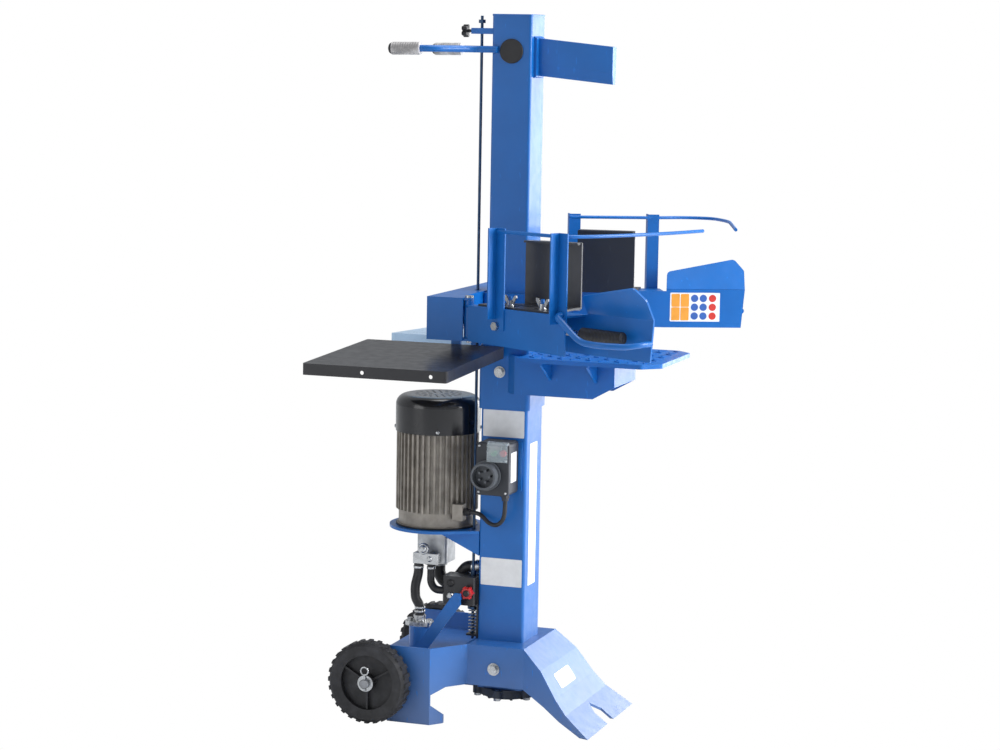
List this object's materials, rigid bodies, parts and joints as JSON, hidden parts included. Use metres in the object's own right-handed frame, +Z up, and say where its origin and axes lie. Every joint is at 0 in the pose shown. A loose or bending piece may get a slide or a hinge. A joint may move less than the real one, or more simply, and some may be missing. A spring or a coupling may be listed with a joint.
{
  "type": "log splitter",
  "caption": "Upright hydraulic log splitter with a sliding wedge mast, log-holding arms, side shelves, pump motor and transport wheels.",
  "frame": {"origin": "centre of the bounding box on the ground", "axes": "+X forward from the mast to the log, +Y to the far side from the switch box, +Z up"},
  "size_m": [0.7763, 0.808, 1.46],
  "materials": {
    "blue_paint": "semi-gloss powder coat",
    "far_shelf_paint": "pale blue powder coat",
    "black_paint": "satin powder coat",
    "jaw_paint": "dark grey powder coat",
    "zinc": "zinc plated",
    "bright_steel": "ground and chromed",
    "plain_steel": "machined",
    "cast_metal": "painted casting",
    "motor_alloy": "extruded, dull",
    "pump_alloy": "cast, dull",
    "bronze": "turned",
    "copper_windings": "varnished",
    "black_plastic": "fine grain",
    "gloss_black": "glossy",
    "grey_plastic": "fine grain",
    "white_plastic": "smooth",
    "red_plastic": "glossy",
    "green_plastic": "glossy",
    "clear_plastic": "clear",
    "grip_rubber": "ribbed",
    "hose_rubber": "smooth",
    "seal_rubber": "smooth",
    "wheel_rubber": "moulded"
  },
  "bodies": {
    "root": {"axle": "plain_steel", "axle_clips": "zinc", "barrel": "plain_steel", "base_frame": "blue_paint", "bottom_cover": "cast_metal", "collar": "blue_paint", "column": "blue_paint", "console": "blue_paint", "cross_beam": "blue_paint", "fan_cover": "gloss_black", "frame_bolts": "zinc", "front_foot": "blue_paint", "gland": "bronze", "guide_pads": "white_plastic", "hinge_pins": "zinc", "hose_fittings": "zinc", "hoses": "hose_rubber", "inlet": "grey_plastic", "motor_body": "motor_alloy", "motor_cable": "hose_rubber", "motor_gland": "black_plastic", "motor_plate": "blue_paint", "pump": "pump_alloy", "return_spring": "zinc", "shelf_far": "far_shelf_paint", "shelf_near": "black_paint", "stator": "copper_windings", "switch_box": "black_plastic", "table": "blue_paint", "valve_block": "black_paint"},
    "wheel_near": {"wheel_near": "wheel_rubber"},
    "wheel_far": {"wheel_far": "wheel_rubber"},
    "mast": {"mast": "blue_paint", "rod_pin": "plain_steel", "pin_plugs": "black_plastic", "piston_rod": "bright_steel", "piston": "plain_steel", "piston_seals": "seal_rubber", "wedge": "blue_paint", "push_handles": "blue_paint", "handle_grips": "grip_rubber"},
    "stop_knob": {"stop_knob": "black_plastic"},
    "arm_near": {"arm_near": "blue_paint", "guard_rail_near": "blue_paint", "wing_nuts_near": "zinc"},
    "arm_far": {"arm_far": "blue_paint", "guard_rail_far": "blue_paint", "wing_nuts_far": "zinc"},
    "jaw_near": {"jaw_near": "jaw_paint"},
    "jaw_far": {"jaw_far": "jaw_paint"},
    "lever_near": {"lever_near": "zinc", "lever_grip_near": "grip_rubber"},
    "lever_far": {"lever_far": "zinc", "lever_grip_far": "grip_rubber"},
    "control_rod": {"control_rod": "zinc"},
    "rotor": {"rotor": "plain_steel"},
    "start_button": {"start_button": "green_plastic"},
    "stop_button": {"stop_button": "red_plastic"},
    "switch_flap": {"switch_flap": "clear_plastic"},
    "valve_knob": {"valve_knob": "red_plastic"}
  },
  "joints": [
    {"name": "mast_slide", "type": "slide", "parent": "root", "child": "mast", "axis": [0, 0, 1], "range_m": [-0.47, 0]},
    {"name": "wheel_near_spin", "type": "hinge", "parent": "root", "child": "wheel_near", "pos_m": [-0.301, -0.202, 0.0865], "axis": [0, 1, 0], "continuous": true},
    {"name": "wheel_far_spin", "type": "hinge", "parent": "root", "child": "wheel_far", "pos_m": [-0.301, 0.202, 0.0865], "axis": [0, 1, 0], "continuous": true},
    {"name": "stop_knob_turn", "type": "hinge", "parent": "mast", "child": "stop_knob", "pos_m": [-0.1675, -0.03, 1.425], "axis": [1, 0, 0], "continuous": true},
    {"name": "arm_near_swing", "type": "hinge", "parent": "root", "child": "arm_near", "pos_m": [-0.0965, -0.193, 0.85], "axis": [0, 0, 1], "range_deg": [-10, 10]},
    {"name": "arm_far_swing", "type": "hinge", "parent": "root", "child": "arm_far", "pos_m": [-0.0965, 0.193, 0.85], "axis": [0, 0, 1], "range_deg": [-10, 10]},
    {"name": "jaw_near_slide", "type": "slide", "parent": "arm_near", "child": "jaw_near", "axis": [0.9063, -0.4226, 0], "range_m": [-0.02, 0.02]},
    {"name": "jaw_far_slide", "type": "slide", "parent": "arm_far", "child": "jaw_far", "axis": [0.9063, 0.4226, 0], "range_m": [-0.02, 0.02]},
    {"name": "lever_near_dip", "type": "hinge", "parent": "arm_near", "child": "lever_near", "pos_m": [-0.00442, -0.2227, 0.845], "axis": [0.4226, 0.9063, 0], "range_deg": [0, 12], "stiffness_Nm_per_rad": 10, "springref_deg": -17.19},
    {"name": "lever_far_dip", "type": "hinge", "parent": "arm_far", "child": "lever_far", "pos_m": [-0.00442, 0.2227, 0.845], "axis": [-0.4226, 0.9063, 0], "range_deg": [0, 12], "stiffness_Nm_per_rad": 10, "springref_deg": -17.19},
    {"name": "control_rod_slide", "type": "slide", "parent": "root", "child": "control_rod", "axis": [0, 0, 1], "range_m": [-0.0061, 0], "stiffness_N_per_m": 2500, "springref_m": 0.012, "deforming": ["return_spring"]},
    {"name": "rotor_spin", "type": "hinge", "parent": "root", "child": "rotor", "pos_m": [-0.2325, 0, 0.5], "axis": [0, 0, 1], "continuous": true},
    {"name": "start_button_press", "type": "slide", "parent": "root", "child": "start_button", "axis": [0, 1, 0], "range_m": [0, 0.003], "stiffness_N_per_m": 300, "springref_m": -0.002},
    {"name": "stop_button_press", "type": "slide", "parent": "root", "child": "stop_button", "axis": [0, 1, 0], "range_m": [0, 0.003], "stiffness_N_per_m": 300, "springref_m": -0.002},
    {"name": "switch_flap_lift", "type": "hinge", "parent": "root", "child": "switch_flap", "pos_m": [-0.0565, -0.1156, 0.5885], "axis": [-1, 0, 0], "range_deg": [0, 100]},
    {"name": "valve_knob_turn", "type": "hinge", "parent": "root", "child": "valve_knob", "pos_m": [-0.1345, -0.07, 0.262], "axis": [0, 1, 0], "range_deg": [-90, 90]}
  ],
  "couplings": [
    {"joint": "control_rod_slide", "follows": "lever_near_dip", "m_per_rad": -0.028648}
  ]
}
